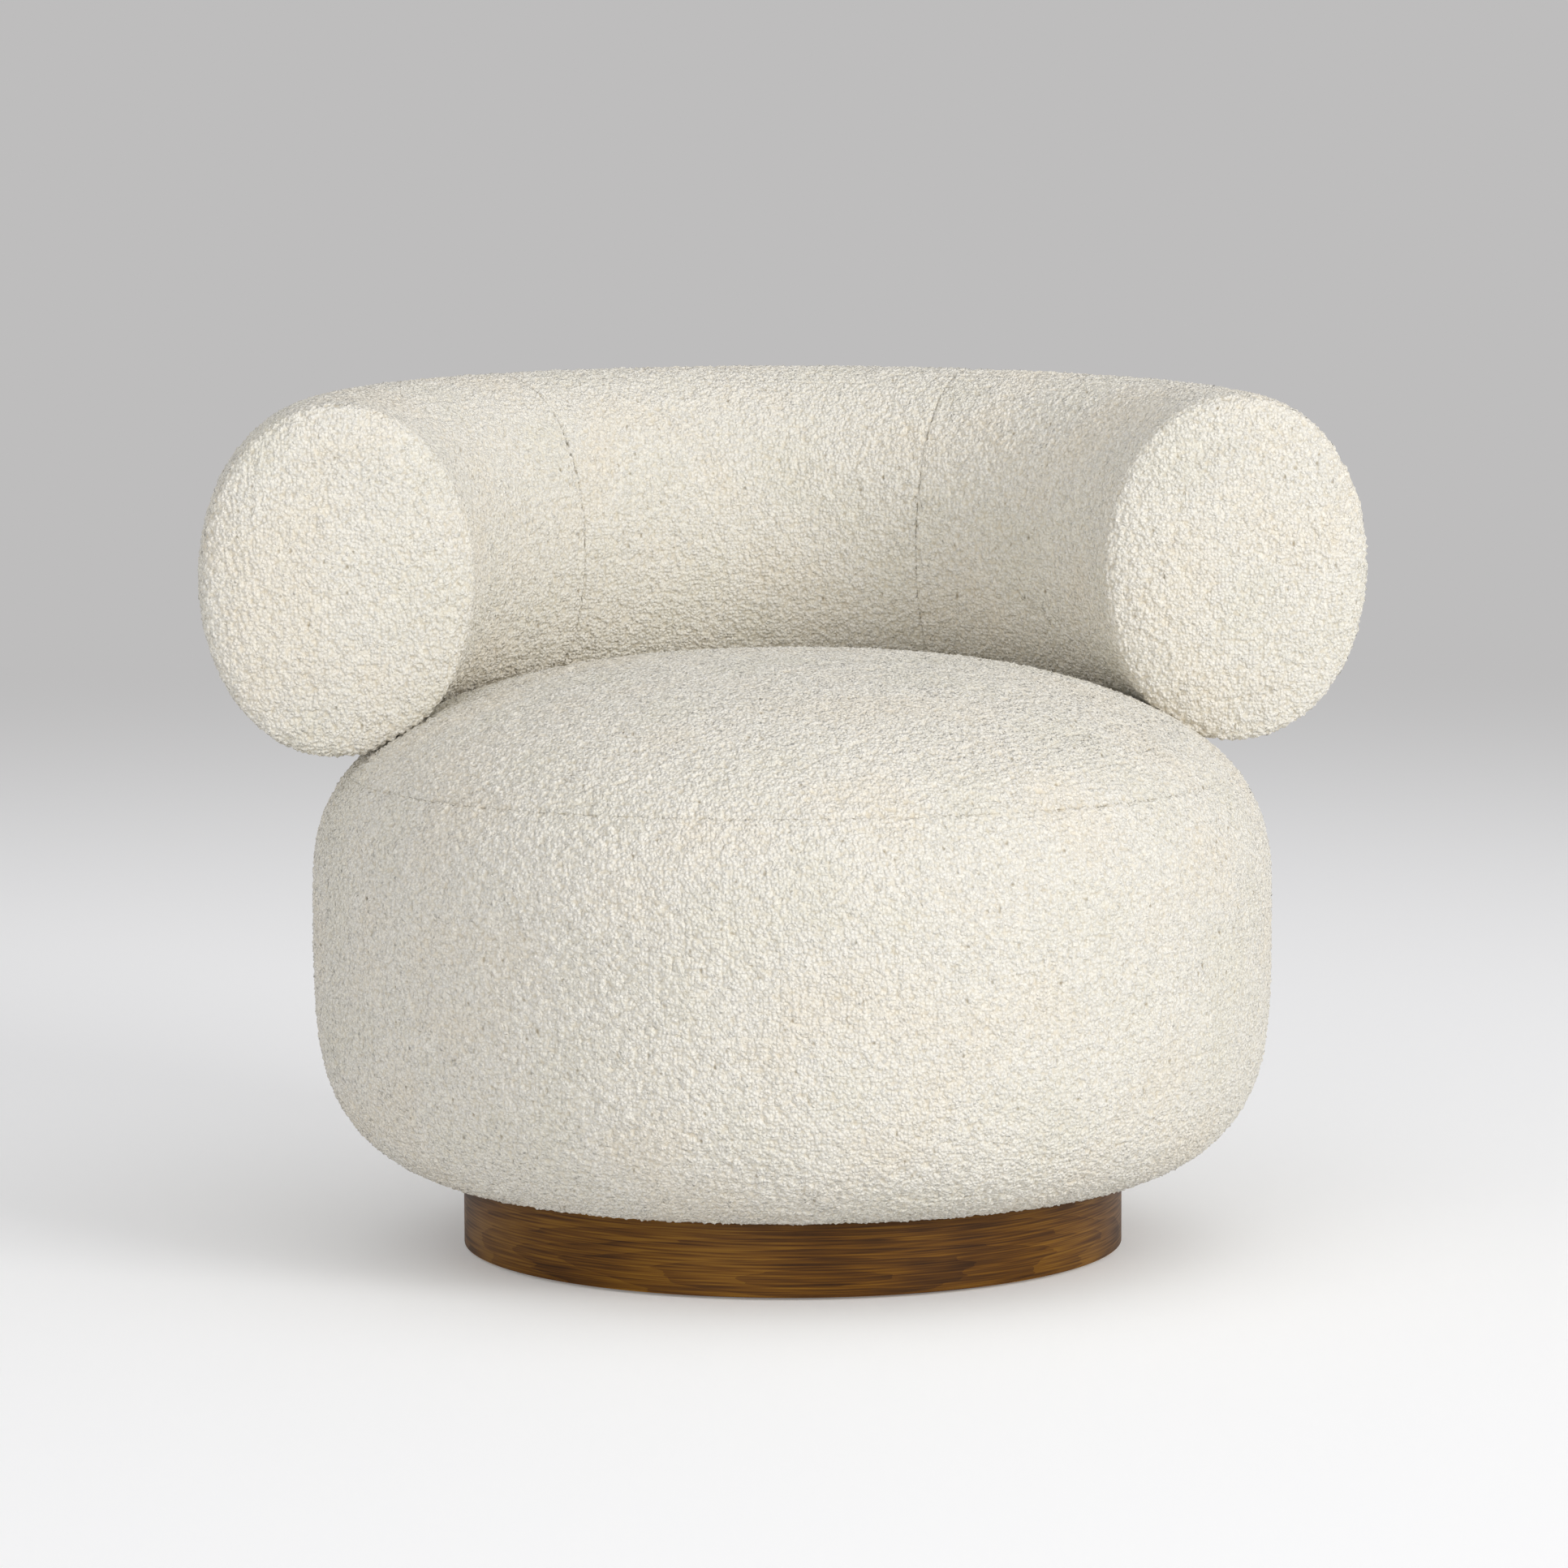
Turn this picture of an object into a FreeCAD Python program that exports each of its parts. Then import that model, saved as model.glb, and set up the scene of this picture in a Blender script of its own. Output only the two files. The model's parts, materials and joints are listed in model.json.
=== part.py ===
# Tub chair. A puffed, nearly round seat body turns on a low veneered plinth, and a fat oval bolster
# runs as a horseshoe round the back and both sides, so it is backrest and arms in one.
# Millimetres, +Z up, the sitter faces -Y. The origin is where the swivel's axis meets the floor.
import FreeCAD, Part
import math
import os

import Sketcher
from FreeCAD import Placement, Rotation, Vector

doc = FreeCAD.newDocument("TubChair")
dims = doc.addObject("Spreadsheet::Sheet", "Dims")

SIZES = (
    # Plinth
    ("plinth_radius", 242, "outside of the veneer"),
    ("plinth_height", 54, "floor to the top edge of the wall"),
    ("plinth_wall", 16, "bent plywood wall"),
    ("veneer_thickness", 1, "stained face veneer"),
    ("top_board_thickness", 15, "board that carries the swivel"),
    ("bottom_board_thickness", 12, "board that closes the foot of the wall"),
    ("glue_block_side", 30, "square blocks between the two boards"),
    ("glue_block_count", 8, ""),
    ("glide_radius", 10, "floor glides"),
    ("glide_height", 2, ""),
    ("glide_count", 6, ""),
    ("glide_inset", 14, "glide centre in from the wall's inner face"),
    # Swivel
    ("swivel_outer_radius", 150, "both race plates"),
    ("swivel_inner_radius", 92, ""),
    ("plate_thickness", 3, ""),
    ("plate_gap", 4, "between the two plates"),
    ("race_radius", 120, "circle of the balls' centres"),
    ("ball_radius", 3.2, ""),
    ("ball_clearance", 0.05, "between ball and groove"),
    ("ball_count", 24, ""),
    ("cage_clearance", 0.08, "between ball and cage hole"),
    ("cage_width", 16, ""),
    ("cage_thickness", 1.6, ""),
    ("fastener_circle", 138, "circle of bolts and screws through the plates"),
    ("bolt_radius", 3, "bolts up into the lower plate"),
    ("bolt_head_height", 4, ""),
    ("bolt_head_across", 10, "across the flats"),
    ("bolt_count", 6, ""),
    ("screw_radius", 2.2, "screws up into the swivel board"),
    ("screw_length", 16, "below the board's face"),
    ("screw_head_radius", 4.5, ""),
    ("screw_head_height", 1.8, ""),
    ("screw_count", 6, ""),
    ("fastener_clearance", 0.3, "hole round a free shank"),
    ("access_radius", 8, "driver hole through both boards and the lower plate"),
    # Seat body, outside of its cover
    ("seat_half_width", 349, "at the waist"),
    ("seat_half_depth", 347, ""),
    ("waist_height", 264, "the widest level"),
    ("crown_height", 430, "top of the dome"),
    ("keel_height", 42, "where the lower curve would close under the middle"),
    ("shadow_gap", 3, "between plinth and the flat underside"),
    ("plan_fullness", 2.04, "2 gives an ellipse, more gives fuller corners"),
    ("crown_fullness", 2.6, "the same for the curve above the waist"),
    ("keel_fullness", 4.5, "the same for the curve below the waist"),
    ("corner_radius", 330, "corner arcs of the widest outline"),
    ("keel_sections", 6, "loft sections below the waist"),
    ("crown_sections", 9, "loft sections from the waist up"),
    ("first_crown_step", 14, "degrees, each next step is a degree shorter"),
    ("cover_thickness", 3, "woven cover of seat and bolster"),
    ("seam_height", 349, "seam between top panel and side boxing"),
    ("cover_hole_radius", 200, "opening left by the turned-under cover"),
    ("dust_cover_thickness", 1, ""),
    ("dust_cover_gap", 2, "dust cover's inner edge to the swivel plate"),
    ("tack_circle", 212, "staples through the turned-under cover"),
    ("tack_count", 16, ""),
    # Seat frame
    ("swivel_board_radius", 226, ""),
    ("swivel_board_thickness", 18, ""),
    ("frame_radius", 262, "base board, top ring and inside of the liner"),
    ("base_board_thickness", 15, ""),
    ("liner_thickness", 4, "bent fibreboard"),
    ("deck_height", 330, "top of the ring that carries the webbing"),
    ("top_ring_width", 72, ""),
    ("top_ring_thickness", 18, ""),
    ("post_side", 40, "square posts at the front"),
    ("post_count", 4, ""),
    ("webbing_width", 50, ""),
    ("webbing_thickness", 1.5, ""),
    ("webbing_pitch", 70, ""),
    ("webbing_count", 4, "straps each way"),
    ("webbing_reach", 216, "strap ends from the middle"),
    ("staple_width", 12, ""),
    ("staple_thickness", 0.8, ""),
    ("staple_inset", 8, "from the strap's end"),
    # Bolster, outside of its cover
    ("bolster_radius", 331, "plan circle of the tube's middle"),
    ("bolster_setback", 0, "circle's centre behind the swivel axis"),
    ("bolster_tilt", 1.5, "degrees, the back stands higher than the arms"),
    ("bolster_height", 492, "middle of the tube above the floor"),
    ("bolster_half_width", 99, ""),
    ("bolster_half_height", 128, ""),
    ("bolster_corner_radius", 102, "corner arcs of the tube's section"),
    ("bolster_fullness", 2.08, "2 gives an ellipse"),
    ("bolster_reach", 91, "degrees from the middle of the back to each cap seam"),
    ("back_seam_angle", 33, "degrees from the middle of the back to each cross seam"),
    ("cap_puff", 16, "how far an end cap stands out of its seam"),
    ("cap_sections", 5, "loft sections of an end cap"),
    ("cap_step", 17.5, "degrees from one of them to the next"),
    ("cap_fullness", 4, "2 gives a round dome, more a flatter one"),
    # Back frame
    ("rail_inset", 8, "rails' middles inside the plan circle of the tube"),
    ("rail_width", 40, ""),
    ("rail_thickness", 18, ""),
    ("rail_spacing", 124, "middle of lower rail to middle of upper rail"),
    ("end_board_thickness", 12, ""),
    ("end_board_inset", 24, "board's edge in from the outside"),
    ("end_foam", 20, "foam between end board and cap seam"),
    ("rib_thickness", 18, ""),
    ("rib_foot_width", 26, "above the ring"),
    ("rib_leg_width", 60, "below the ring"),
    ("rib_angle", 40, "degrees between one rib and the next"),
    ("rib_head_width", 36, "just narrower than the rails"),
    ("rib_seat", 2, "how far a rib's top is scribed into the upper rail's underside"),
)

for row, (alias, value, meaning) in enumerate(SIZES, start=1):
    dims.set(f"A{row}", alias)
    dims.set(f"B{row}", str(value))
    dims.set(f"C{row}", meaning)
    dims.setAlias(f"B{row}", alias)
doc.recompute()


class Read:
    """Reads the sheet: read.plinth_radius is that cell's number."""

    def __getattr__(self, alias):
        return float(dims.get(alias))


read = Read()
pieces = []
UP = Vector(0, 0, 1)
ORIGIN = Vector(0, 0, 0)


def keep(obj, node):
    """Names one sub-part and lists it for writing."""
    obj.Label = node
    pieces.append(obj)
    return obj


def keep_shape(shape, node):
    """A sub-part whose form only plain geometry gives."""
    obj = doc.addObject("Part::Feature", node)
    obj.Shape = shape
    return keep(obj, node)


# Levels that several pieces share, each as a formula on the sheet.
LEVELS = (
    ("underside", "plinth_height + shadow_gap"),
    ("frame_bottom", "underside + cover_thickness"),
    ("swivel_stack", "2 * plate_thickness + plate_gap"),
    ("swivel_bottom", "frame_bottom - swivel_stack"),
    ("ball_height", "swivel_bottom + swivel_stack / 2"),
    ("groove_radius", "ball_radius + ball_clearance"),
    ("wall_outer_radius", "plinth_radius - veneer_thickness"),
    ("wall_inner_radius", "wall_outer_radius - plinth_wall"),
    ("top_board_bottom", "swivel_bottom - top_board_thickness"),
    ("bottom_board_top", "glide_height + bottom_board_thickness"),
    ("base_board_bottom", "frame_bottom + swivel_board_thickness"),
    ("base_board_top", "base_board_bottom + base_board_thickness"),
    ("ring_bottom", "deck_height - top_ring_thickness"),
    ("liner_outer_radius", "frame_radius + liner_thickness"),
    ("foam_bottom", "deck_height + 2 * webbing_thickness"),
    ("rail_radius", "bolster_radius - rail_inset"),
)
for row, (alias, formula) in enumerate(LEVELS, start=len(SIZES) + 1):
    dims.set(f"A{row}", alias)
    dims.set(f"B{row}", "=" + formula)
    dims.setAlias(f"B{row}", alias)
    doc.recompute()


def sketch_on(body, role, name):
    """A sketch on one of the body's own origin planes."""
    plane = next(f for f in body.Origin.OriginFeatures if f.Role == role)
    sketch = body.newObject("Sketcher::SketchObject", name)
    sketch.AttachmentSupport = [(plane, "")]
    sketch.MapMode = "FlatFace"
    return sketch


def add_circle(sketch, radius, across="0", up="0"):
    """A circle whose radius and centre are formulas of the sheet."""
    circle = sketch.addGeometry(Part.Circle(Vector(1, 1, 0), UP, 1), False)
    for kind, formula in (("Radius", radius), ("DistanceX", across), ("DistanceY", up)):
        if kind == "Radius":
            number = sketch.addConstraint(Sketcher.Constraint(kind, circle, 1.0))
        elif formula == "0":
            axis = -2 if kind == "DistanceX" else -1
            sketch.addConstraint(Sketcher.Constraint("PointOnObject", circle, 3, axis))
            continue
        else:
            number = sketch.addConstraint(Sketcher.Constraint(kind, -1, 1, circle, 3, 1.0))
        sketch.setExpression(f"Constraints[{number}]", formula)
    return circle


def plate_body(node, outer, inner, thickness, bottom):
    """A flat disc or ring standing at the level `bottom`; inner is None for a disc."""
    body = doc.addObject("PartDesign::Body", node)
    outline = sketch_on(body, "XY_Plane", node + "_outline")
    add_circle(outline, outer)
    if inner:
        add_circle(outline, inner)
    pad = body.newObject("PartDesign::Pad", node + "_pad")
    pad.Profile = outline
    pad.setExpression("Length", thickness)
    body.setExpression("Placement.Base.z", bottom)
    return keep(body, node)


def drill(body, name, radius, circle, count, turn="0"):
    """Holes right through, evenly round a circle, the first one turned from +X by `turn`."""
    place = sketch_on(body, "XY_Plane", name + "_place")
    add_circle(place, radius, f"{circle} * cos({turn} * 1 deg)",
               "0" if turn == "0" else f"{circle} * sin({turn} * 1 deg)")
    hole = body.newObject("PartDesign::Pocket", name)
    hole.Profile = place
    hole.Type = "ThroughAll"
    hole.Reversed = True
    if count:
        ring = body.newObject("PartDesign::PolarPattern", name + "_ring")
        ring.Originals = [hole]
        ring.Axis = (place, ["N_Axis"])
        ring.Angle = 360
        ring.setExpression("Occurrences", count)
        body.Tip = ring


def groove_race(body, level):
    """The half-round ball groove turned into a race plate; level is the balls' height in the body."""
    section = sketch_on(body, "XZ_Plane", body.Name + "_race_section")
    add_circle(section, "Dims.groove_radius", "Dims.race_radius", level)
    race = body.newObject("PartDesign::Groove", body.Name + "_race")
    race.Profile = section
    race.ReferenceAxis = (section, ["V_Axis"])
    race.Angle = 360


def solid_cylinder(radius, bottom, height, across=0.0, along=0.0):
    return Part.makeCylinder(radius, height, Vector(across, along, bottom))


def round_places(radius, count, start=0.0):
    """Points evenly round a circle, with their angles in degrees from +X."""
    for number in range(int(count)):
        angle = start + 360 * number / count
        yield angle, radius * math.cos(math.radians(angle)), radius * math.sin(math.radians(angle))


def centred_box(length, width, height, middle_x, middle_y, bottom, angle=0.0):
    """A box centred on a point in plan and turned about the vertical through it."""
    box = Part.makeBox(length, width, height, Vector(-length / 2, -width / 2, 0))
    box.Placement = Placement(Vector(middle_x, middle_y, bottom), Rotation(UP, angle))
    return box


# Plinth
plate_body("plinth_wall", "Dims.wall_outer_radius", "Dims.wall_inner_radius",
           "Dims.plinth_height - Dims.glide_height", "Dims.glide_height")
plate_body("plinth_veneer", "Dims.plinth_radius", "Dims.wall_outer_radius",
           "Dims.plinth_height - Dims.glide_height", "Dims.glide_height")
bottom_board = plate_body("plinth_bottom_board", "Dims.wall_inner_radius", None,
                          "Dims.bottom_board_thickness", "Dims.glide_height")
drill(bottom_board, "driver_way", "Dims.access_radius", "Dims.fastener_circle", None,
      "180 / Dims.bolt_count")
top_board = plate_body("plinth_top_board", "Dims.wall_inner_radius", None,
                       "Dims.top_board_thickness", "Dims.top_board_bottom")
drill(top_board, "bolt_holes", "Dims.bolt_radius + Dims.fastener_clearance",
      "Dims.fastener_circle", "Dims.bolt_count")
drill(top_board, "driver_hole", "Dims.access_radius", "Dims.fastener_circle", None,
      "180 / Dims.bolt_count")

block_height = read.top_board_bottom - read.bottom_board_top
inside_wall = solid_cylinder(read.wall_inner_radius, read.bottom_board_top, block_height)
blocks = [
    centred_box(2 * read.glue_block_side, read.glue_block_side, block_height, x, y,
                read.bottom_board_top, angle).common(inside_wall)
    for angle, x, y in round_places(read.wall_inner_radius, read.glue_block_count)
]
keep_shape(Part.makeCompound(blocks), "plinth_glue_blocks")

glides = [
    solid_cylinder(read.glide_radius, 0, read.glide_height, x, y)
    for angle, x, y in round_places(read.wall_inner_radius - read.glide_inset,
                                    read.glide_count, 180 / read.glide_count)
]
keep_shape(Part.makeCompound(glides), "floor_glides")

# Swivel
lower_plate = plate_body("swivel_lower_plate", "Dims.swivel_outer_radius",
                         "Dims.swivel_inner_radius", "Dims.plate_thickness",
                         "Dims.swivel_bottom")
groove_race(lower_plate, "Dims.ball_height - Dims.swivel_bottom")
drill(lower_plate, "threaded_holes", "Dims.bolt_radius", "Dims.fastener_circle", "Dims.bolt_count")
drill(lower_plate, "driver_opening", "Dims.access_radius", "Dims.fastener_circle", None,
      "180 / Dims.bolt_count")

upper_plate = plate_body("swivel_upper_plate", "Dims.swivel_outer_radius",
                         "Dims.swivel_inner_radius", "Dims.plate_thickness",
                         "Dims.frame_bottom - Dims.plate_thickness")
groove_race(upper_plate, "-Dims.plate_gap / 2")
drill(upper_plate, "screw_holes", "Dims.screw_radius + Dims.fastener_clearance",
      "Dims.fastener_circle", "Dims.screw_count")

cage = plate_body("swivel_cage", "Dims.race_radius + Dims.cage_width / 2",
                  "Dims.race_radius - Dims.cage_width / 2", "Dims.cage_thickness",
                  "Dims.ball_height - Dims.cage_thickness / 2")
drill(cage, "ball_holes", "Dims.ball_radius + Dims.cage_clearance", "Dims.race_radius",
      "Dims.ball_count")

balls = [
    Part.makeSphere(read.ball_radius, Vector(x, y, read.ball_height))
    for angle, x, y in round_places(read.race_radius, read.ball_count)
]
keep_shape(Part.makeCompound(balls), "swivel_balls")

bolt_shank = read.top_board_thickness + read.plate_thickness
bolts = []
for angle, x, y in round_places(read.fastener_circle, read.bolt_count):
    corner = read.bolt_head_across / math.sqrt(3)
    corners = [Vector(x + dx, y + dy, read.top_board_bottom - read.bolt_head_height)
               for turn, dx, dy in round_places(corner, 6)]
    head = Part.Face(Part.makePolygon(corners + corners[:1]))
    head = head.extrude(Vector(0, 0, read.bolt_head_height))
    bolts.append(head.fuse(solid_cylinder(read.bolt_radius, read.top_board_bottom, bolt_shank, x, y)))
keep_shape(Part.makeCompound(bolts), "swivel_lower_bolts")

plate_face = read.frame_bottom - read.plate_thickness
screws = []
for angle, x, y in round_places(read.fastener_circle, read.screw_count):
    head = solid_cylinder(read.screw_head_radius, plate_face - read.screw_head_height,
                          read.screw_head_height, x, y)
    shank = solid_cylinder(read.screw_radius, plate_face, read.plate_thickness + read.screw_length,
                           x, y)
    screws.append(head.fuse(shank))
keep_shape(Part.makeCompound(screws), "swivel_upper_screws")

# Seat frame
swivel_board = plate_body("swivel_board", "Dims.swivel_board_radius", None,
                          "Dims.swivel_board_thickness", "Dims.frame_bottom")
drill(swivel_board, "screw_bites", "Dims.screw_radius", "Dims.fastener_circle", "Dims.screw_count")
plate_body("seat_base_board", "Dims.frame_radius", None, "Dims.base_board_thickness",
           "Dims.base_board_bottom")
plate_body("side_liner", "Dims.liner_outer_radius", "Dims.frame_radius",
           "Dims.deck_height - Dims.base_board_bottom", "Dims.base_board_bottom")
plate_body("dust_cover", "Dims.cover_hole_radius", "Dims.swivel_outer_radius + Dims.dust_cover_gap",
           "Dims.dust_cover_thickness", "Dims.frame_bottom - Dims.dust_cover_thickness")


def oval_arcs(half_a, half_b, corner, fullness):
    """A closed oval as eight arcs, each given by its start, a point on it and its end.

    The corner arcs pass through the superellipse's diagonal points, and the four long arcs
    join them without a kink.
    """
    diagonal = 2 ** (-1 / fullness)
    length = math.hypot(half_a, half_b)
    centre = (half_a * diagonal - corner * half_b / length,
              half_b * diagonal - corner * half_a / length)

    def long_radius(half, along, across):
        return (corner**2 - across**2 - (along - half) ** 2) / (2 * (along - half + corner))

    end_radius = long_radius(half_b, centre[1], centre[0])
    side_radius = long_radius(half_a, centre[0], centre[1])

    def touch(hub, radius):
        away = math.copysign(math.hypot(centre[0] - hub[0], centre[1] - hub[1]), radius - corner)
        return (hub[0] + radius * (centre[0] - hub[0]) / away,
                hub[1] + radius * (centre[1] - hub[1]) / away)

    end_touch = touch((0, half_b - end_radius), end_radius)
    side_touch = touch((half_a - side_radius, 0), side_radius)
    bulge = (half_a * diagonal, half_b * diagonal)
    arcs = []
    for sign_a, sign_b in ((1, 1), (1, -1), (-1, -1), (-1, 1)):
        def flip(point):
            return (sign_a * point[0], sign_b * point[1])
        if sign_a * sign_b > 0:
            before = flip(end_touch)
            after = flip(side_touch)
            tip = (sign_a * half_a, 0)
            beyond = (sign_a * side_touch[0], -sign_b * side_touch[1])
        else:
            before = flip(side_touch)
            after = flip(end_touch)
            tip = (0, sign_b * half_b)
            beyond = (-sign_a * end_touch[0], sign_b * end_touch[1])
        arcs.append((before, flip(bulge), after))
        arcs.append((after, tip, beyond))
    return arcs


def oval_wire(arcs, place):
    """The arcs as a wire; place turns a point of the oval into a point in space."""
    return Part.Wire([Part.Arc(*(place(point) for point in arc)).toShape() for arc in arcs])


def seat_form(inset):
    """The puffed seat body as a loft, drawn in by `inset` from the outside of its cover."""
    rise = read.crown_height - inset - read.waist_height
    drop = read.waist_height - read.keel_height - inset
    bottom = read.underside + inset
    flat = math.asin(((read.waist_height - bottom) / drop) ** (read.keel_fullness / 2))
    stations = []
    for section in range(int(read.keel_sections)):
        angle = flat * math.cos(math.pi / 2 * section / read.keel_sections)
        stations.append((math.cos(angle) ** (2 / read.keel_fullness),
                         read.waist_height - drop * math.sin(angle) ** (2 / read.keel_fullness)))
    for section in range(int(read.crown_sections)):
        angle = math.radians(section * read.first_crown_step - section * (section - 1) / 2)
        stations.append((math.cos(angle) ** (2 / read.crown_fullness),
                         read.waist_height + rise * math.sin(angle) ** (2 / read.crown_fullness)))
    wires = []
    for spread, height in stations:
        arcs = oval_arcs((read.seat_half_width - inset) * spread,
                         (read.seat_half_depth - inset) * spread,
                         (read.corner_radius - inset) * spread, read.plan_fullness)
        wires.append(oval_wire(arcs, lambda point, level=height: Vector(*point, level)))
    return Part.makeLoft(wires, True, False)


seat_outside = seat_form(0)
seat_inside = seat_form(read.cover_thickness)
print("seat form volume", round(seat_outside.Volume / 1e6, 3), "litres")


def slab(bottom, top):
    """A block wider than the chair, to keep what lies between two levels."""
    wide = 4 * read.seat_half_width
    return Part.makeBox(wide, wide, top - bottom, Vector(-wide / 2, -wide / 2, bottom))


# Bolster
bolster_middle = Placement(Vector(0, read.bolster_setback, read.bolster_height),
                           Rotation(Vector(1, 0, 0), read.bolster_tilt))


def tube_section(inset, shrink=1.0):
    """The tube's oval section as a face in the XZ plane, at +X from the bolster's own middle."""
    arcs = oval_arcs((read.bolster_half_width - inset) * shrink,
                     (read.bolster_half_height - inset) * shrink,
                     (read.bolster_corner_radius - inset) * shrink, read.bolster_fullness)
    return oval_wire(arcs, lambda point: Vector(read.bolster_radius + point[0], 0, point[1]))


def swing(face, first, last):
    """Turns a face in the XZ plane round the bolster, from one angle off the back to another."""
    turned = face.copy()
    turned.rotate(ORIGIN, UP, 90 - last)
    solid = turned.revolve(ORIGIN, UP, last - first)
    solid.Placement = bolster_middle.multiply(solid.Placement)
    return solid


outer_face = Part.Face(tube_section(0))
inner_face = Part.Face(tube_section(read.cover_thickness))
skin_face = outer_face.cut(inner_face).Faces[0]


def rail_face(level):
    half = read.rail_width / 2
    low = level - read.rail_thickness / 2
    high = level + read.rail_thickness / 2
    corners = [Vector(read.rail_radius - half, 0, low), Vector(read.rail_radius + half, 0, low),
               Vector(read.rail_radius + half, 0, high), Vector(read.rail_radius - half, 0, high)]
    return Part.Face(Part.makePolygon(corners + corners[:1]))


# Angle along the bolster that the foam in front of an end board, and the board, take up.
foam_turn = math.degrees((read.end_foam + read.end_board_thickness) / read.bolster_radius)
rail_reach = read.bolster_reach - foam_turn
lower_rail = swing(rail_face(-read.rail_spacing / 2), -rail_reach, rail_reach)
upper_rail = swing(rail_face(read.rail_spacing / 2), -rail_reach, rail_reach)


def end_board(side):
    """Oval board across an arm's end; side is +1 for the sitter's left, at +X."""
    face = Part.Face(tube_section(read.end_board_inset))
    board = face.extrude(Vector(0, -read.end_board_thickness, 0))
    board.rotate(ORIGIN, UP, 90 - rail_reach)
    if side < 0:
        board = board.mirror(ORIGIN, Vector(1, 0, 0))
    board.Placement = bolster_middle.multiply(board.Placement)
    return board


def end_cap(side):
    """Puffed cloth cap sewn over an arm's end."""
    wires = []
    for section in range(int(read.cap_sections)):
        shrink = math.cos(math.radians(section * read.cap_step))
        out = math.sqrt(1 - shrink**read.cap_fullness)
        wire = tube_section(0, shrink)
        wire.translate(Vector(0, -read.cap_puff * out, 0))
        wires.append(wire)
    cap = Part.makeLoft(wires, True, False)
    cap.rotate(ORIGIN, UP, 90 - read.bolster_reach)
    if side < 0:
        cap = cap.mirror(ORIGIN, Vector(1, 0, 0))
    cap.Placement = bolster_middle.multiply(cap.Placement)
    return cap


def inside_liner(bottom, top):
    """The room that the bent liner leaves between two levels."""
    return solid_cylinder(read.frame_radius, bottom, top - bottom)


def rib(angle):
    """A plywood rib from the base board up into the bolster; angle is off the middle of the back."""
    turn = math.radians(angle)
    reach = read.bolster_setback * math.cos(turn) + math.sqrt(
        read.rail_radius**2 - (read.bolster_setback * math.sin(turn)) ** 2)
    head = read.rib_head_width / 2
    rise = math.tan(math.radians(read.bolster_tilt)) * (reach * math.cos(turn) - read.bolster_setback)
    low_rail = read.bolster_height + rise - read.rail_spacing / 2
    top = read.bolster_height + rise + (read.rail_spacing - read.rail_thickness) / 2 + read.rib_seat
    outline = (
        (read.frame_radius - read.rib_leg_width, read.base_board_top),
        (read.frame_radius, read.base_board_top),
        (read.frame_radius, read.foam_bottom),
        (reach + head, low_rail - read.rail_thickness),
        (reach + head, top),
        (reach - head, top),
        (reach - head, low_rail),
        (read.frame_radius - read.rib_foot_width, read.foam_bottom),
        (read.frame_radius - read.rib_foot_width, read.ring_bottom),
        (read.frame_radius - read.rib_leg_width, read.ring_bottom - read.rib_leg_width),
    )
    half = read.rib_thickness / 2
    corners = [Vector(out, half, level) for out, level in outline]
    face = Part.Face(Part.makePolygon(corners + corners[:1]))
    solid = face.extrude(Vector(0, -read.rib_thickness, 0))
    solid.rotate(ORIGIN, UP, 90 - angle)
    above = slab(read.foam_bottom, read.bolster_height + read.rail_spacing)
    room = inside_liner(read.base_board_top, read.foam_bottom).fuse(above)
    return solid.common(room).cut(lower_rail).cut(upper_rail)


RIBS = (
    ("back_rib_centre", 0),
    ("back_rib_left", 1),
    ("back_rib_right", -1),
    ("arm_rib_left", 2),
    ("arm_rib_right", -2),
)
ribs = [rib(step * read.rib_angle) for node, step in RIBS]
all_ribs = Part.makeCompound(ribs)
for (node, step), shape in zip(RIBS, ribs):
    keep_shape(shape, node)
keep_shape(lower_rail, "back_lower_rail")
keep_shape(upper_rail, "back_upper_rail")
boards = {side: end_board(side) for side in (1, -1)}
keep_shape(boards[1], "arm_end_board_left")
keep_shape(boards[-1], "arm_end_board_right")

top_ring = inside_liner(read.ring_bottom, read.deck_height)
top_ring = top_ring.cut(solid_cylinder(read.frame_radius - read.top_ring_width, read.ring_bottom,
                                       read.top_ring_thickness))
keep_shape(top_ring.cut(all_ribs), "seat_top_ring")

post_height = read.ring_bottom - read.base_board_top
post_circle = read.frame_radius - read.post_side / 2
posts = []
for number in range(int(read.post_count)):
    turn = -90 + (number - (read.post_count - 1) / 2) * read.rib_angle
    post = centred_box(read.post_side, read.post_side, post_height,
                       post_circle * math.cos(math.radians(turn)),
                       post_circle * math.sin(math.radians(turn)), read.base_board_top, turn)
    posts.append(post.common(inside_liner(read.base_board_top, read.ring_bottom)))
keep_shape(Part.makeCompound(posts), "seat_front_posts")

# Webbing and its staples
straps = {"webbing_long": [], "webbing_cross": []}
staples = []
for number in range(int(read.webbing_count)):
    offset = (number - (read.webbing_count - 1) / 2) * read.webbing_pitch
    half = math.sqrt(read.webbing_reach**2 - offset**2)
    crown = half - read.staple_inset
    straps["webbing_long"].append(centred_box(
        read.webbing_width, 2 * half, read.webbing_thickness, offset, 0, read.deck_height))
    straps["webbing_cross"].append(centred_box(
        2 * half, read.webbing_width, read.webbing_thickness, 0, offset,
        read.deck_height + read.webbing_thickness))
    for end in (-1, 1):
        staples.append(centred_box(
            read.staple_width, read.staple_thickness, read.staple_thickness, offset, end * crown,
            read.deck_height + read.webbing_thickness))
        staples.append(centred_box(
            read.staple_thickness, read.staple_width, read.staple_thickness, end * crown, offset,
            read.foam_bottom))
for node, boxes in straps.items():
    keep_shape(Part.makeCompound(boxes), node)
all_staples = Part.makeCompound(staples)
keep_shape(all_staples, "webbing_staples")

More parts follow.
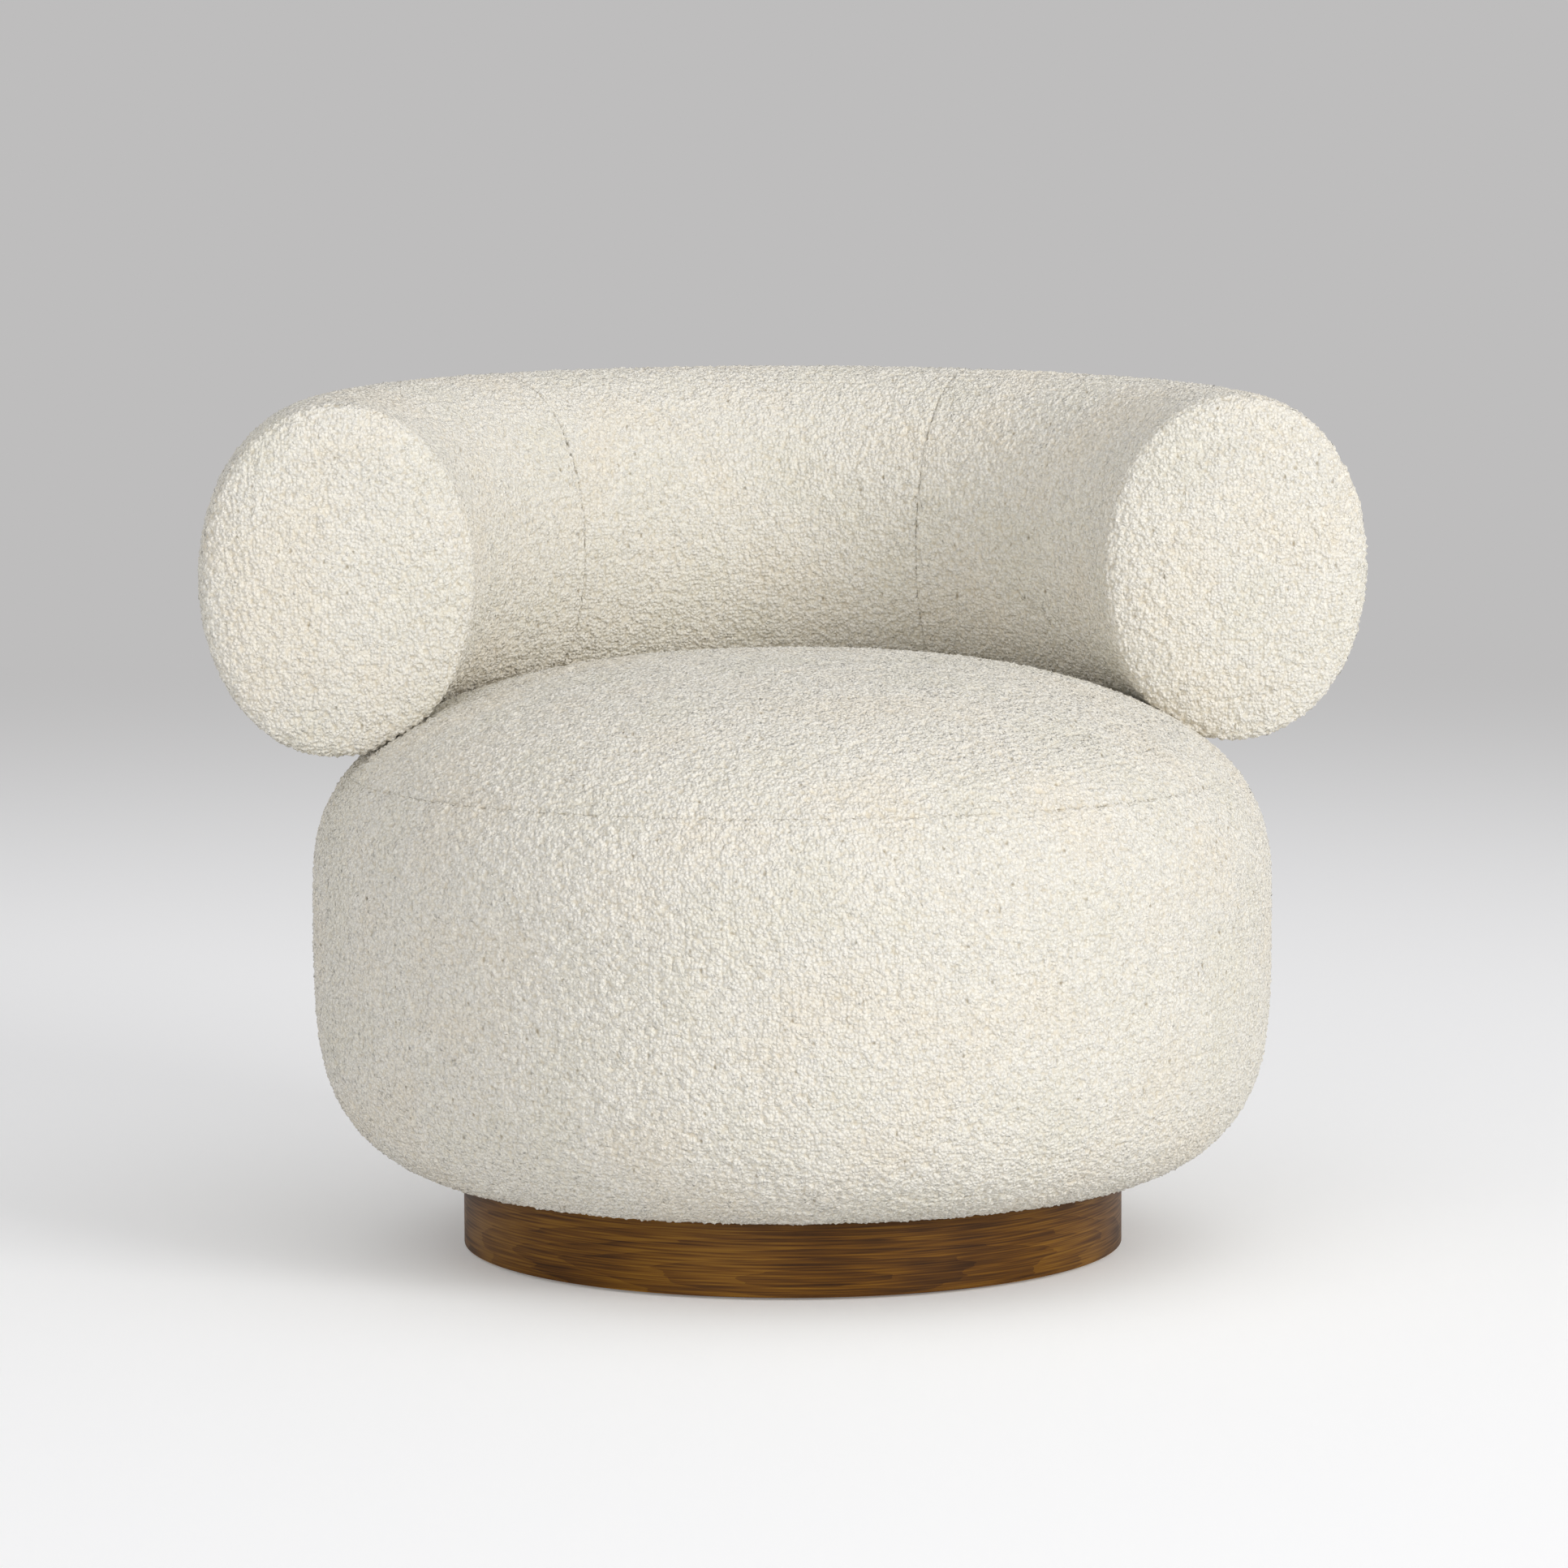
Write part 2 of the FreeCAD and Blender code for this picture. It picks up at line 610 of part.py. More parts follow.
# Foam and covers of the seat body
seat_foam = seat_inside.common(slab(read.foam_bottom, read.crown_height))
keep_shape(seat_foam.cut(all_ribs).cut(all_staples), "seat_foam")
side_foam = seat_inside.common(slab(read.frame_bottom, read.foam_bottom))
side_foam = side_foam.cut(solid_cylinder(read.liner_outer_radius, read.base_board_bottom,
                                         read.foam_bottom - read.base_board_bottom))
side_foam = side_foam.cut(solid_cylinder(read.swivel_board_radius, read.frame_bottom,
                                         read.swivel_board_thickness))
keep_shape(side_foam, "side_foam")

seat_skin = seat_outside.cut(seat_inside)
boxing = seat_skin.common(slab(read.underside, read.seam_height))
boxing = boxing.cut(solid_cylinder(read.cover_hole_radius, read.underside, read.cover_thickness))
keep_shape(boxing, "side_boxing")
top_panel = seat_skin.common(slab(read.seam_height, read.crown_height))
keep_shape(top_panel.cut(all_ribs), "seat_top_cover")

tacks = [
    centred_box(read.staple_thickness, read.staple_width, read.staple_thickness, x, y,
                read.underside - read.staple_thickness, angle)
    for angle, x, y in round_places(read.tack_circle, read.tack_count)
]
keep_shape(Part.makeCompound(tacks), "cover_staples")

# Foam and covers of the bolster, seated on the body's dome
bolster_foam = swing(inner_face, -read.bolster_reach, read.bolster_reach)
for inner in (lower_rail, upper_rail, boards[1], boards[-1], all_ribs, seat_outside):
    bolster_foam = bolster_foam.cut(inner)
keep_shape(bolster_foam, "bolster_foam")

PANELS = (
    ("bolster_cover_centre", -read.back_seam_angle, read.back_seam_angle),
    ("bolster_cover_left", read.back_seam_angle, read.bolster_reach),
    ("bolster_cover_right", -read.bolster_reach, -read.back_seam_angle),
)
for node, first, last in PANELS:
    panel = swing(skin_face, first, last)
    keep_shape(panel.cut(seat_outside).cut(all_ribs), node)
for node, side in (("arm_cap_left", 1), ("arm_cap_right", -1)):
    keep_shape(end_cap(side).cut(seat_outside), node)

doc.recompute()
for obj in doc.Objects:
    if {"Invalid", "Error"} & set(obj.State):
        raise RuntimeError(f"{obj.Label} did not build: {obj.State}")
for obj in pieces:
    if obj.Shape.isNull() or not obj.Shape.isValid() or not obj.Shape.Solids:
        raise RuntimeError(f"{obj.Label} has no valid shape")
    print(f"{obj.Label}: {len(obj.Shape.Solids)} solids, {obj.Shape.Volume / 1000:.1f} cm3")

os.makedirs("parts", exist_ok=True)
for obj in pieces:
    obj.Shape.exportStep(f"parts/{obj.Label}.step")
print(len(pieces), "nodes written")
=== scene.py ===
# %% [markdown]
# # A tub chair in cream boucle on a turning wooden plinth
# The real chair is foam over a plywood frame, covered in a thick looped cloth. A puffed round seat
# body carries an oval bolster, bent like a horseshoe, which is the back and both arms. It all turns
# on a low round plinth in dark stained wood veneer. The construction inside comes from the packed
# model. This script models the cloth-covered forms, finishes every surface, and sets the light and
# the camera.

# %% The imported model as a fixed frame
import json
import math

import bpy
import numpy as np
from mathutils import Matrix, Vector


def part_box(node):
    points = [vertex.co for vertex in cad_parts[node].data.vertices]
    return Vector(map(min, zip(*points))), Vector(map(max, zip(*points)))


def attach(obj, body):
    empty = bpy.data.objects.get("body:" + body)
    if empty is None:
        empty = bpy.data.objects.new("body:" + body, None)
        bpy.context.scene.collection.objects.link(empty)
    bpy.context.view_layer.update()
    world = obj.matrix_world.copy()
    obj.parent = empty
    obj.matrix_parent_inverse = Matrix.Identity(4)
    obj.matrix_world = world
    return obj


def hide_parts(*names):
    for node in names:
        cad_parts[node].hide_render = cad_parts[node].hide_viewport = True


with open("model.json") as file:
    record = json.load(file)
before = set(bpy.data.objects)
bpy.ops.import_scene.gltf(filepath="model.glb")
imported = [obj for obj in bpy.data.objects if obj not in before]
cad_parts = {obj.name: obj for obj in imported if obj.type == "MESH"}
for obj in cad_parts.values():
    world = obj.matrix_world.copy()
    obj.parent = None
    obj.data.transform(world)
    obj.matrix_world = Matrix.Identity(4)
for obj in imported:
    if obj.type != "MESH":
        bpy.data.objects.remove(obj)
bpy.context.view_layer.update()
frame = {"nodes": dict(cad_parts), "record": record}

# %% [markdown]
# ## Sizes
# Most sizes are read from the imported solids, so the soft forms stay where the construction is. The
# fullness numbers say how square a curve is: 2 is an ellipse, more is fuller in the corners.

# %% Sizes of the seat body and the bolster, in metres
boxing_low, boxing_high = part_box("side_boxing")
seat_half_width = boxing_high.x
seat_half_depth = boxing_high.y
underside = boxing_low.z
seam_height = boxing_high.z
crown_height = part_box("seat_top_cover")[1].z
waist_height = 0.264
keel_height = 0.042
plan_fullness = 2.04
crown_fullness = 2.6
keel_fullness = 4.5
hole_radius = 0.200

bolster_half_width = 0.099
bolster_half_height = 0.128
bolster_fullness = 2.08
bolster_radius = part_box("bolster_cover_left")[1].x - bolster_half_width
bolster_height = 0.492
bolster_tilt = math.radians(1.5)
bolster_reach = math.radians(91)
back_seam = math.radians(33)
cap_puff = 0.016

# How far off a point may be and still lie on a ring, in metres and in radians.
tolerance = 1e-5
angle_tolerance = 1e-4
print(f"seat {2 * seat_half_width:.3f} m wide, bolster circle {bolster_radius:.3f} m")


# %% [markdown]
# ## Tools of the trade
# A handful of small helpers. An operator acts on all that is selected, so each piece starts from a
# bare selection. Points are read and written as one array, which is quick on a dense mesh.

# %% Helpers for modelling
def open_new(name):
    """Names the primitive just added and opens it for editing."""
    piece = bpy.context.object
    piece.name = piece.data.name = name
    bpy.ops.object.mode_set(mode="EDIT")
    bpy.ops.mesh.select_mode(type="VERT")
    bpy.ops.mesh.select_all(action="SELECT")
    return piece


def close_edit():
    """Leaves the edit mode, which writes the changes to the mesh."""
    bpy.ops.object.mode_set(mode="OBJECT")


def only(piece):
    """Selects one piece and nothing else."""
    bpy.ops.object.select_all(action="DESELECT")
    piece.select_set(True)
    bpy.context.view_layer.objects.active = piece


def face_outward():
    """Turns all faces of the piece that is open for editing outwards."""
    bpy.ops.mesh.select_all(action="SELECT")
    bpy.ops.mesh.normals_make_consistent(inside=False)


def points_of(piece):
    """All points of a piece, one row each."""
    flat = np.empty(len(piece.data.vertices) * 3)
    piece.data.vertices.foreach_get("co", flat)
    return flat.reshape(-1, 3)


def move_points(piece, points):
    """Sets all points of a piece at once."""
    piece.data.vertices.foreach_set("co", points.ravel())
    piece.data.update()


def normals_of(piece):
    """The direction that the surface faces at each point."""
    flat = np.empty(len(piece.data.vertices) * 3, np.float32)
    piece.data.vertex_normals.foreach_get("vector", flat)
    return flat.reshape(-1, 3)


def finish_modifier(piece, modifier):
    """Makes what a modifier does part of the mesh."""
    only(piece)
    bpy.ops.object.modifier_apply(modifier=modifier.name)


def smooth_step(value):
    """Eases from 0 to 1, level at both ends."""
    value = np.clip(value, 0, 1)
    return value * value * (3 - 2 * value)


def arch(share, fullness):
    """Height of a rounded arch of height 1, at a share of its half width."""
    return (1 - share**fullness) ** (1 / fullness)


def oval_reach(angle, fullness):
    """How far a rounded oval reaches at an angle, where a circle of radius 1 reaches 1."""
    return (np.abs(np.cos(angle)) ** fullness
            + np.abs(np.sin(angle)) ** fullness) ** (-1 / fullness)


# %% [markdown]
# ## The seat body
# On the real chair this is a drum of plywood and bent board, wrapped in foam and a cover of two
# pieces: a round top panel and a deep side boxing, joined by a fine seam just above the waist. A
# lathe-like form could be spun, but its pole would crowd at the crown. Rings are extruded up the
# side instead, and the crown is closed by a square grid, which keeps the mesh even all over.

# %% The outline that the rings follow
def seat_spread(height):
    """Share of the full half width that the seat body has at a height."""
    above = np.clip((height - waist_height) / (crown_height - waist_height), 0, 1)
    below = np.clip((waist_height - height) / (waist_height - keel_height), 0, 1)
    return np.where(height >= waist_height, arch(above, crown_fullness),
                    arch(below, keel_fullness))


def even_levels(low, high, count):
    """Heights that part the outline between two levels into equal lengths."""
    heights = np.linspace(low, high, 2000)
    spread = seat_spread(heights) * seat_half_width
    length = np.concatenate([[0], np.cumsum(np.hypot(np.diff(spread), np.diff(heights)))])
    return np.interp(np.linspace(0, length[-1], count + 1), length, heights)


# The square grid on the crown begins at this share of the half width.
grid_edge = 0.86
rim_height = waist_height + (crown_height - waist_height) * arch(grid_edge, crown_fullness)
side_levels = even_levels(underside, seam_height, 25)
crown_levels = even_levels(seam_height, rim_height, 4)
print("rings on the side:", len(side_levels), "and up to the grid:", len(crown_levels) - 1)

# %% Rings from the foot to the crown
ring_points = 128
bpy.ops.object.select_all(action="DESELECT")
bpy.ops.mesh.primitive_circle_add(vertices=ring_points, radius=hole_radius, fill_type="NOTHING",
                                  location=(0, 0, 0))
seat = open_new("seat_body")
bpy.ops.transform.translate(value=(0, 0, underside))
spread = hole_radius / seat_half_width
height = underside
for level in np.concatenate([side_levels, crown_levels[1:]]):
    wider = float(seat_spread(level)) / spread
    bpy.ops.mesh.extrude_region_move(TRANSFORM_OT_translate={"value": (0, 0, level - height)})
    bpy.ops.transform.resize(value=(wider, wider, 1), center_override=(0, 0, level))
    spread, height = spread * wider, level
bpy.ops.mesh.fill_grid(span=ring_points // 4)
close_edit()
print("seat body base:", len(seat.data.polygons), "faces")


# %% The crown and the nearly round plan, set point by point
def square_plan(points):
    """Turns a circle in plan into the slightly fuller oval of the real body."""
    angle = np.arctan2(points[:, 1], points[:, 0])
    fuller = oval_reach(angle, plan_fullness)
    points[:, 0] *= fuller
    points[:, 1] *= fuller * seat_half_depth / seat_half_width
    return points


places = points_of(seat)
radius = np.hypot(places[:, 0], places[:, 1]) / seat_half_width
on_crown = places[:, 2] > rim_height - tolerance
lift = arch(np.clip(radius, 0, 1), crown_fullness)
places[on_crown, 2] = (waist_height + (crown_height - waist_height) * lift)[on_crown]
move_points(seat, square_plan(places))
print("crown at", round(places[:, 2].max(), 4), "m")

# %% [markdown]
# ## The bolster
# The real bolster is one long foam tube of oval section, bent round the sitter. Its cover has a
# panel behind the back, one along each arm, and a cloth cap over each arm's end, sewn in an oval
# seam. The tube is one section swung round in three stretches, so that its rings fall on the seams.

# %% The oval section swung round from the sitter's right arm to the left
section_points = 48
arm_steps = 21
back_steps = 24
bpy.ops.object.select_all(action="DESELECT")
bpy.ops.mesh.primitive_circle_add(vertices=section_points, radius=1, fill_type="NOTHING",
                                  rotation=(math.pi / 2, 0, 0))
bpy.ops.object.transform_apply(location=True, rotation=True, scale=True)
bolster = open_new("bolster")
close_edit()
places = points_of(bolster)
around = np.arctan2(places[:, 2], places[:, 0])
fuller = oval_reach(around, bolster_fullness)
places = np.column_stack([
    bolster_radius + bolster_half_width * fuller * np.cos(around),
    np.zeros(section_points),
    bolster_half_height * fuller * np.sin(around),
])
first = math.pi / 2 + bolster_reach
turned = places.copy()
turned[:, 0] = places[:, 0] * math.cos(first)
turned[:, 1] = places[:, 0] * math.sin(first)
move_points(bolster, turned)

bpy.ops.object.mode_set(mode="EDIT")
bpy.ops.mesh.select_all(action="SELECT")
# The spin goes clockwise seen from above, so it passes behind the sitter.
for steps, angle in ((arm_steps, bolster_reach - back_seam), (back_steps, 2 * back_seam),
                     (arm_steps, bolster_reach - back_seam)):
    bpy.ops.mesh.spin(steps=steps, angle=angle, center=(0, 0, 0), axis=(0, 0, 1))
close_edit()
swept = points_of(bolster)
print("tube reaches from", swept[:, 0].min().round(3), "to", swept[:, 0].max().round(3))

# %% [markdown]
# ## Closing the arms
# A cloth cap closes each arm. It is the end of the foam, puffed a little by the wadding behind it.
# The tube's end ring is extruded inwards in a few smaller rings that follow a flat dome, and a
# square grid closes the middle, so that no fan of thin faces meets in a point.

# %% A puffed cap on each arm
cap_rings = 3
cap_turn = math.radians(14)
cap_fullness = 4


def pick_points(piece, chosen):
    """Opens a piece for editing with only the chosen points selected."""
    only(piece)
    piece.data.polygons.foreach_set("select", np.zeros(len(piece.data.polygons), bool))
    piece.data.edges.foreach_set("select", np.zeros(len(piece.data.edges), bool))
    piece.data.vertices.foreach_set("select", chosen)
    bpy.ops.object.mode_set(mode="EDIT")
    bpy.ops.mesh.select_mode(type="VERT")


def off_back(points):
    """Angle of each point round the bolster's middle, from the middle of the back to +X."""
    return np.arctan2(points[:, 0], points[:, 1])


def cap_dome(share):
    """How far the cap stands out, from its middle at 0 to its seam at 1."""
    return cap_puff * np.sqrt(1 - share**cap_fullness)


for side in (1, -1):
    end = side * bolster_reach
    middle = Vector((math.sin(end), math.cos(end), 0)) * bolster_radius
    outward = Vector((math.cos(end), -math.sin(end), 0)) * side
    pick_points(bolster, np.abs(off_back(points_of(bolster)) - end) < angle_tolerance)
    size, reached = 1, 0
    for ring in range(1, cap_rings + 1):
        smaller = math.cos(ring * cap_turn)
        out = float(cap_dome(smaller))
        step = outward * (out - reached)
        bpy.ops.mesh.extrude_region_move(TRANSFORM_OT_translate={"value": step})
        bpy.ops.transform.resize(value=(smaller / size,) * 3,
                                 center_override=middle + outward * out)
        size, reached = smaller, out
    bpy.ops.mesh.fill_grid(span=section_points // 4)
    face_outward()
    close_edit()
    places = points_of(bolster)
    out = (places - np.array(middle)) @ np.array(outward)
    across = places - np.array(middle) - np.outer(out, outward)
    share = ((np.hypot(across[:, 0], across[:, 1]) / bolster_half_width) ** bolster_fullness
             + (np.abs(across[:, 2]) / bolster_half_height) ** bolster_fullness)
    share = np.clip(share ** (1 / bolster_fullness), 0, 1)
    middle_grid = (out > reached - tolerance) & (places[:, 0] * side > 0)
    places[middle_grid] += np.outer(cap_dome(share) - out, outward)[middle_grid]
    move_points(bolster, places)
only(seat)
bpy.ops.object.mode_set(mode="EDIT")
face_outward()
close_edit()
print("bolster base:", len(bolster.data.polygons), "faces")

# %% [markdown]
# ## Foam under tension
# Foam pushes a sewn cover outwards between its seams. A short cloth simulation does that here: air
# pressure inside, the seams and the flat underside held still, and no gravity. The cover may move
# only a few millimetres, because real upholstery of this kind is pulled tight.

# %% Cloth with pressure, held at the seams
puff_frames = 20
puff_pressure = 3
puff_limit = 0.003


def puff(piece, held):
    """Swells a cover between the points that are held, up to the limit and no more."""
    before = points_of(piece)
    group = piece.vertex_groups.new(name="held")
    group.add(np.flatnonzero(held).tolist(), 1, "REPLACE")
    cloth = piece.modifiers.new("puff", "CLOTH")
    cloth.settings.vertex_group_mass = group.name
    cloth.settings.use_pressure = True
    cloth.settings.uniform_pressure_force = puff_pressure
    cloth.settings.effector_weights.gravity = 0
    for moment in range(1, puff_frames + 1):
        bpy.context.scene.frame_set(moment)
    finish_modifier(piece, cloth)
    piece.vertex_groups.clear()
    step = points_of(piece) - before
    length = np.linalg.norm(step, axis=1)
    share = puff_limit * np.tanh(length / puff_limit) / np.maximum(length, 1e-9)
    move_points(piece, before + step * share[:, None])
    bpy.context.scene.frame_set(1)
    print(f"{piece.name} puffed by {1000 * (length * share).max():.1f} mm at the most,",
          f"{1000 * (length * share).mean():.1f} mm on average")


seat_places = points_of(seat)
flat_underside = 0.001
seat_held = ((np.abs(seat_places[:, 2] - seam_height) < tolerance)
             | (seat_places[:, 2] < underside + flat_underside))
tube_angle = np.abs(off_back(points_of(bolster)))
tube_held = ((np.abs(tube_angle - back_seam) < angle_tolerance)
             | (np.abs(tube_angle - bolster_reach) < angle_tolerance))
puff(seat, seat_held)
puff(bolster, tube_held)

# %% [markdown]
# ## Cutting the covers apart
# Each cover panel is a piece of its own on the chair, so it is one here. The panels part at the
# rings that lie on the seams. Subdivision then makes a fine, smooth mesh of each, with cells of
# 2 to 3 mm, and the shared rings keep the panels in touch.


# %% Panels, each a mesh of its own
def face_centres(piece):
    """The middle of each face, one row each."""
    flat = np.empty(len(piece.data.polygons) * 3)
    piece.data.polygons.foreach_get("center", flat)
    return flat.reshape(-1, 3)


def part_off(piece, faces, name):
    """Separates the chosen faces into a new piece."""
    only(piece)
    bpy.ops.object.mode_set(mode="EDIT")
    bpy.ops.mesh.select_mode(type="FACE")
    bpy.ops.mesh.select_all(action="DESELECT")
    close_edit()
    piece.data.polygons.foreach_set("select", faces)
    bpy.ops.object.mode_set(mode="EDIT")
    bpy.ops.mesh.separate(type="SELECTED")
    close_edit()
    panel = next(obj for obj in bpy.context.selected_objects if obj != piece)
    panel.name = panel.data.name = name
    return panel


def past_seam(piece, side):
    """Faces of an arm's cap, outside the seam at the arm's end."""
    centres = face_centres(piece)
    end = side * bolster_reach
    outward = np.array([math.cos(end), -math.sin(end), 0]) * side
    return (centres @ outward > 0) & (centres[:, 0] * side > 0)


crown = part_off(seat, face_centres(seat)[:, 2] > seam_height, "seat_top_panel")
boxing = seat
boxing.name = boxing.data.name = "seat_side_boxing"
caps = {side: part_off(bolster, past_seam(bolster, side), "arm_cap_" + name)
        for side, name in ((1, "cloth_left"), (-1, "cloth_right"))}
arms = {side: part_off(bolster, off_back(face_centres(bolster)) * side > back_seam,
                       "arm_panel_" + name)
        for side, name in ((1, "left"), (-1, "right"))}
back = bolster
back.name = back.data.name = "back_panel"
covers = [crown, boxing, back, *arms.values(), *caps.values()]
tube_covers = covers[2:]
for piece in covers:
    print(piece.name, len(piece.data.polygons), "faces before subdivision")

# %% The tube is tilted and set on the seat, and every panel is made fine
for piece in tube_covers:
    only(piece)
    piece.rotation_euler.x = bolster_tilt
    piece.location.z = bolster_height
    bpy.ops.object.transform_apply(location=True, rotation=True, scale=True)
fineness = 3
for piece in covers:
    fine = piece.modifiers.new("fine", "SUBSURF")
    fine.levels = fine.render_levels = fineness
    finish_modifier(piece, fine)
    bpy.ops.object.shade_smooth()
print("cover faces in all:", sum(len(piece.data.polygons) for piece in covers))

# %% [markdown]
# ## Resting and sewing
# Where the bolster rests on the seat, its foam flattens against the dome. A Shrinkwrap modifier in
# its Outside mode does that: it moves only the points that are inside the seat. Along each seam the
# thread draws the two covers in, which leaves a fine groove with slight puckers.


# %% The bolster flattens on the seat
def whole_copy(pieces, name):
    """A joined copy of several pieces, to rest other pieces on."""
    bpy.ops.object.select_all(action="DESELECT")
    copies = []
    for piece in pieces:
        copy = piece.copy()
        copy.data = piece.data.copy()
        bpy.context.scene.collection.objects.link(copy)
        copy.select_set(True)
        copies.append(copy)
    bpy.context.view_layer.objects.active = copies[0]
    bpy.ops.object.join()
    copies[0].name = name
    return copies[0]


seat_shape = whole_copy([crown, boxing], "seat_shape")
contact_gap = 0.0008
for piece in tube_covers:
    rest = piece.modifiers.new("rest", "SHRINKWRAP")
    rest.target = seat_shape
    rest.wrap_method = "NEAREST_SURFACEPOINT"
    rest.wrap_mode = "OUTSIDE"
    rest.offset = contact_gap
    before = points_of(piece)
    finish_modifier(piece, rest)
    moved = np.linalg.norm(points_of(piece) - before, axis=1)
    print(f"{piece.name}: {(moved > 1e-6).sum()} points rest,",
          f"the deepest by {1000 * moved.max():.0f} mm")
bpy.data.objects.remove(seat_shape)

# %% Distance of every point from its seams
tilt = np.array(Matrix.Rotation(bolster_tilt, 3, "X"))
bolster_middle = np.array([0, 0, bolster_height])


def cross_seam(angle):
    """A bolster seam: a point on its plane, the plane's normal, and the chair's side it is on."""
    normal = tilt @ np.array([math.cos(angle), -math.sin(angle), 0])
    return bolster_middle, normal, math.copysign(1, angle)


def seam_distance(points, seams):
    """Distance of each point from the nearest seam on its own side of the chair."""
    far_off = 1.0
    nearest = np.full(len(points), far_off)
    for middle, normal, side in seams:
        away = np.abs((points - middle) @ normal)
        away[points[:, 0] * side < 0] = far_off
        nearest = np.minimum(nearest, away)
    return nearest


seat_seam = [((0, 0, seam_height), np.array([0, 0, 1]), side) for side in (1, -1)]
tube_seams = [cross_seam(side * angle) for side in (1, -1) for angle in (back_seam, bolster_reach)]
seams_of = {piece.name: tube_seams for piece in tube_covers}
seams_of[crown.name] = seams_of[boxing.name] = seat_seam

# %% The groove that the thread draws in
groove_width = 0.0042
groove_depth = 0.0007
pucker_length = 0.011
pucker_share = 0.35
pucker_way = np.array([1, 0.7, 1.3])


def store(piece, name, values):
    """Keeps one number per point, for the cloth's material."""
    attribute = piece.data.attributes.new(name, "FLOAT", "POINT")
    attribute.data.foreach_set("value", values.astype(np.float32))


for piece in covers:
    places = points_of(piece)
    away = seam_distance(places, seams_of[piece.name])
    pucker = 1 + pucker_share * np.sin(places @ pucker_way * 2 * math.pi / pucker_length)
    depth = groove_depth * smooth_step(1 - away / groove_width) ** 2 * pucker
    move_points(piece, places - normals_of(piece) * depth[:, None])
    # The distance from the seams is kept for the painted shade along the seam groove.
    store(piece, "seam", away)
print("seams drawn in by", round(1000 * groove_depth, 1), "mm")

# %% [markdown]
# ## Loops of the cloth
# Boucle is woven with a yarn that curls up into small firm loops. They are a few millimetres across
# and stand out at the cloth's edges, so a flat surface with a bump pattern would give a smooth
# outline. Two Displace modifiers raise them in the mesh: one with a cell pattern for the loops, one
# with clouds for the cloth's uneven pile. Finer curls come later, in the material.

# %% Loops and uneven pile in the mesh
loop_size = 0.0038
loop_rise = 0.0040
loop_middle = 0.52
pile_size = 0.016
pile_rise = 0.0012
loops = bpy.data.textures.new("loops", "VORONOI")
loops.noise_scale = loop_size
loops.distance_metric = "DISTANCE"
pile = bpy.data.textures.new("pile", "CLOUDS")
pile.noise_scale = pile_size
pile.noise_depth = 2


def raise_pattern(piece, texture, rise, middle):
    """Raises a piece by a texture, times `rise`; where the texture is `middle`, nothing moves."""
    lift = piece.modifiers.new("lift", "DISPLACE")
    lift.texture = texture
    lift.texture_coords = "LOCAL"
    lift.strength = rise
    lift.mid_level = middle
    finish_modifier(piece, lift)


for piece in covers:
    smooth = points_of(piece)
    outward = normals_of(piece)
    raise_pattern(piece, loops, -loop_rise, loop_middle)
    lifted = ((points_of(piece) - smooth) * outward).sum(axis=1)
    # The lift of the loops is kept for the material, which paints shade between them.
    store(piece, "loop", lifted / loop_rise)
    raise_pattern(piece, pile, pile_rise, 0.5)
print(f"loops of {1000 * loop_size:.1f} mm rise by up to {1000 * lifted.max():.1f} mm")

# %% The open ends are closed, out of sight inside the chair
bearing_clearance = 0.0035
pick_points(boxing, (points_of(boxing)[:, 2] < underside + 0.003)
            & (np.hypot(*points_of(boxing)[:, :2].T) < hole_radius + 0.002))
bpy.ops.mesh.extrude_region_move(TRANSFORM_OT_translate={"value": (0, 0, bearing_clearance)})
close_edit()
for piece in covers:
    only(piece)
    bpy.ops.object.mode_set(mode="EDIT")
    bpy.ops.mesh.select_all(action="SELECT")
    bpy.ops.mesh.fill_holes(sides=0)
    close_edit()
    corners = np.empty(len(piece.data.polygons), np.int32)
    piece.data.polygons.foreach_get("loop_total", corners)
    piece.data.polygons.foreach_set("use_smooth", corners <= 4)
    print(piece.name, "closed by", int((corners > 4).sum()), "hidden faces")

# %% [markdown]
# ## Materials
# Each finish starts from what it is and how it was made. Colours are written as sRGB hex values and
# turned to linear once. Patterns are sized in millimetres, and read Object coordinates, which are
# metres in the chair's own frame.


# %% Colour, length and node helpers
def srgb(code):
    """Linear colour of a hex code."""
    parts = [int(code[place:place + 2], 16) / 255 for place in (1, 3, 5)]
    return (*(part / 12.92 if part <= 0.04045 else ((part + 0.055) / 1.055) ** 2.4
              for part in parts), 1)


def per_metre(millimetres):
    """Scale of a pattern whose features are that large."""
    return 1000 / millimetres


def add_node(tree, kind, inputs=(), **settings):
    """Adds one node; an input is a value or another node's output."""
    node = tree.nodes.new(kind)
    for key, value in settings.items():
        setattr(node, key, value)
    for key, value in dict(inputs).items():
        if isinstance(value, bpy.types.NodeSocket):
            tree.links.new(value, node.inputs[key])
        else:
            node.inputs[key].default_value = value
    return node


def colour_steps(tree, value, steps):
    """A colour ramp from a list of places and hex codes."""
    ramp = add_node(tree, "ShaderNodeValToRGB", {"Fac": value})
    while len(ramp.color_ramp.elements) < len(steps):
        ramp.color_ramp.elements.new(0.5)
    for element, (place, code) in zip(ramp.color_ramp.elements, steps):
        element.position = place
        element.color = srgb(code)
    return ramp.outputs["Color"]


def new_material(name):
    """An empty material, and its tree."""
    material = bpy.data.materials.new(name)
    material.use_nodes = True
    tree = material.node_tree
    tree.nodes.clear()
    return material, tree


def finish_surface(tree, inputs):
    """The surface shader, joined to the material's output."""
    surface = add_node(tree, "ShaderNodeBsdfPrincipled", inputs)
    add_node(tree, "ShaderNodeOutputMaterial", {"Surface": surface.outputs["BSDF"]})
    return surface
